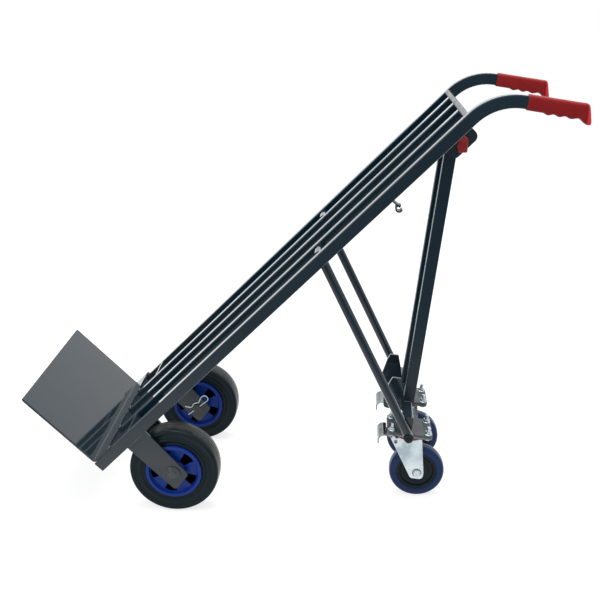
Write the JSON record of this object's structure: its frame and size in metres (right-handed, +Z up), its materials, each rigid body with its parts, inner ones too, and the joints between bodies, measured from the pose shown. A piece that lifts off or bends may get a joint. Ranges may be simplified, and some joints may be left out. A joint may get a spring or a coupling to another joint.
{
  "type": "sack truck",
  "caption": "Self-supporting sack truck: slanted ladder frame with toe plate, two wheels and a fold-away stand on braked swivel castors.",
  "frame": {"origin": "on the floor, under the middle of the truck's outer box", "axes": "+X from the toe plate towards the handles, +Y across the truck to the pusher's right, +Z up"},
  "size_m": [1.135, 0.419, 0.9217],
  "materials": {
    "frame_paint": "gloss",
    "zinc": "bright zinc",
    "wheel_blue": "satin",
    "tyre_black": "satin",
    "tread_blue": "satin",
    "hub_black": "satin",
    "ring_red": "satin",
    "grip_red": "gloss"
  },
  "bodies": {
    "frame": {"axle_pin_left": "frame_paint", "axle_pin_right": "frame_paint", "axle_washers": "frame_paint", "fork_tie_left": "frame_paint", "fork_tie_right": "frame_paint", "frame_bar_centre": "frame_paint", "frame_bar_left": "frame_paint", "frame_bar_right": "frame_paint", "grip_left": "grip_red", "grip_right": "grip_red", "latch_base": "frame_paint", "latch_cheeks": "frame_paint", "side_tube_left": "frame_paint", "side_tube_right": "frame_paint", "spring_clip_left": "zinc", "spring_clip_right": "zinc", "stow_keeper": "zinc", "strut_pins": "zinc", "strut_spacers": "frame_paint", "toe_plate": "frame_paint", "top_crossbar": "frame_paint", "wheel_plate_inner_left": "frame_paint", "wheel_plate_inner_right": "frame_paint", "wheel_plate_outer_left": "frame_paint", "wheel_plate_outer_right": "frame_paint"},
    "wheel_left": {"wheel_rim_left": "wheel_blue", "wheel_tyre_left": "tyre_black"},
    "wheel_right": {"wheel_rim_right": "wheel_blue", "wheel_tyre_right": "tyre_black"},
    "struts": {"strut_left": "frame_paint", "strut_right": "frame_paint"},
    "stand": {"stand_leg_left": "frame_paint", "stand_leg_right": "frame_paint", "latch_bar": "zinc", "cross_beam": "frame_paint", "beam_ends": "frame_paint", "strut_studs": "zinc", "stud_nuts": "hub_black", "beam_ears": "frame_paint", "mount_plate": "frame_paint", "castor_plates": "zinc", "castor_bolts": "zinc", "castor_nuts": "zinc"},
    "lever": {"lever_pin": "zinc", "latch_hook": "frame_paint", "lever_arm": "frame_paint", "lever_cap": "grip_red"},
    "castor_left": {"castor_fork_left": "zinc", "dust_ring_left": "ring_red", "castor_axle_left": "zinc"},
    "castor_wheel_left": {"castor_hub_left": "hub_black", "castor_tread_left": "tread_blue"},
    "brake_left": {"brake_pedal_left": "zinc"},
    "castor_right": {"castor_fork_right": "zinc", "dust_ring_right": "ring_red", "castor_axle_right": "zinc"},
    "castor_wheel_right": {"castor_hub_right": "hub_black", "castor_tread_right": "tread_blue"},
    "brake_right": {"brake_pedal_right": "zinc"}
  },
  "joints": [
    {"name": "wheel_left_spin", "type": "hinge", "parent": "frame", "child": "wheel_left", "pos_m": [-0.24643, -0.166, 0.1], "axis": [0, 1, 0], "continuous": true},
    {"name": "wheel_right_spin", "type": "hinge", "parent": "frame", "child": "wheel_right", "pos_m": [-0.24643, 0.166, 0.1], "axis": [0, 1, 0], "continuous": true},
    {"name": "strut_swing", "type": "hinge", "parent": "frame", "child": "struts", "pos_m": [0.07, 0, 0.59109], "axis": [0, 1, 0], "range_deg": [0, 55]},
    {"name": "stand_fold", "type": "hinge", "parent": "struts", "child": "stand", "pos_m": [0.26757, 0, 0.179], "axis": [0, -1, 0], "range_deg": [0, 22.02]},
    {"name": "castor_left_swivel", "type": "hinge", "parent": "stand", "child": "castor_left", "pos_m": [0.27144, -0.083, 0.1504], "axis": [0.1105, 0, 0.9939], "continuous": true},
    {"name": "castor_left_spin", "type": "hinge", "parent": "castor_left", "child": "castor_wheel_left", "pos_m": [0.29356, -0.083, 0.0625], "axis": [0, 1, 0], "continuous": true},
    {"name": "brake_left_press", "type": "hinge", "parent": "castor_left", "child": "brake_left", "pos_m": [0.24317, -0.083, 0.14046], "axis": [0, -1, 0], "range_deg": [0, 10]},
    {"name": "castor_right_swivel", "type": "hinge", "parent": "stand", "child": "castor_right", "pos_m": [0.27144, 0.083, 0.1504], "axis": [0.1105, 0, 0.9939], "continuous": true},
    {"name": "castor_right_spin", "type": "hinge", "parent": "castor_right", "child": "castor_wheel_right", "pos_m": [0.29356, 0.083, 0.0625], "axis": [0, 1, 0], "continuous": true},
    {"name": "brake_right_press", "type": "hinge", "parent": "castor_right", "child": "brake_right", "pos_m": [0.24317, 0.083, 0.14046], "axis": [0, -1, 0], "range_deg": [0, 10]},
    {"name": "latch_turn", "type": "hinge", "parent": "frame", "child": "lever", "pos_m": [0.34754, 0, 0.83256], "axis": [0, 1, 0], "range_deg": [0, 22]}
  ],
  "couplings": [
    {"joint": "stand_fold", "follows": "strut_swing", "ratio": 0.39948}
  ]
}
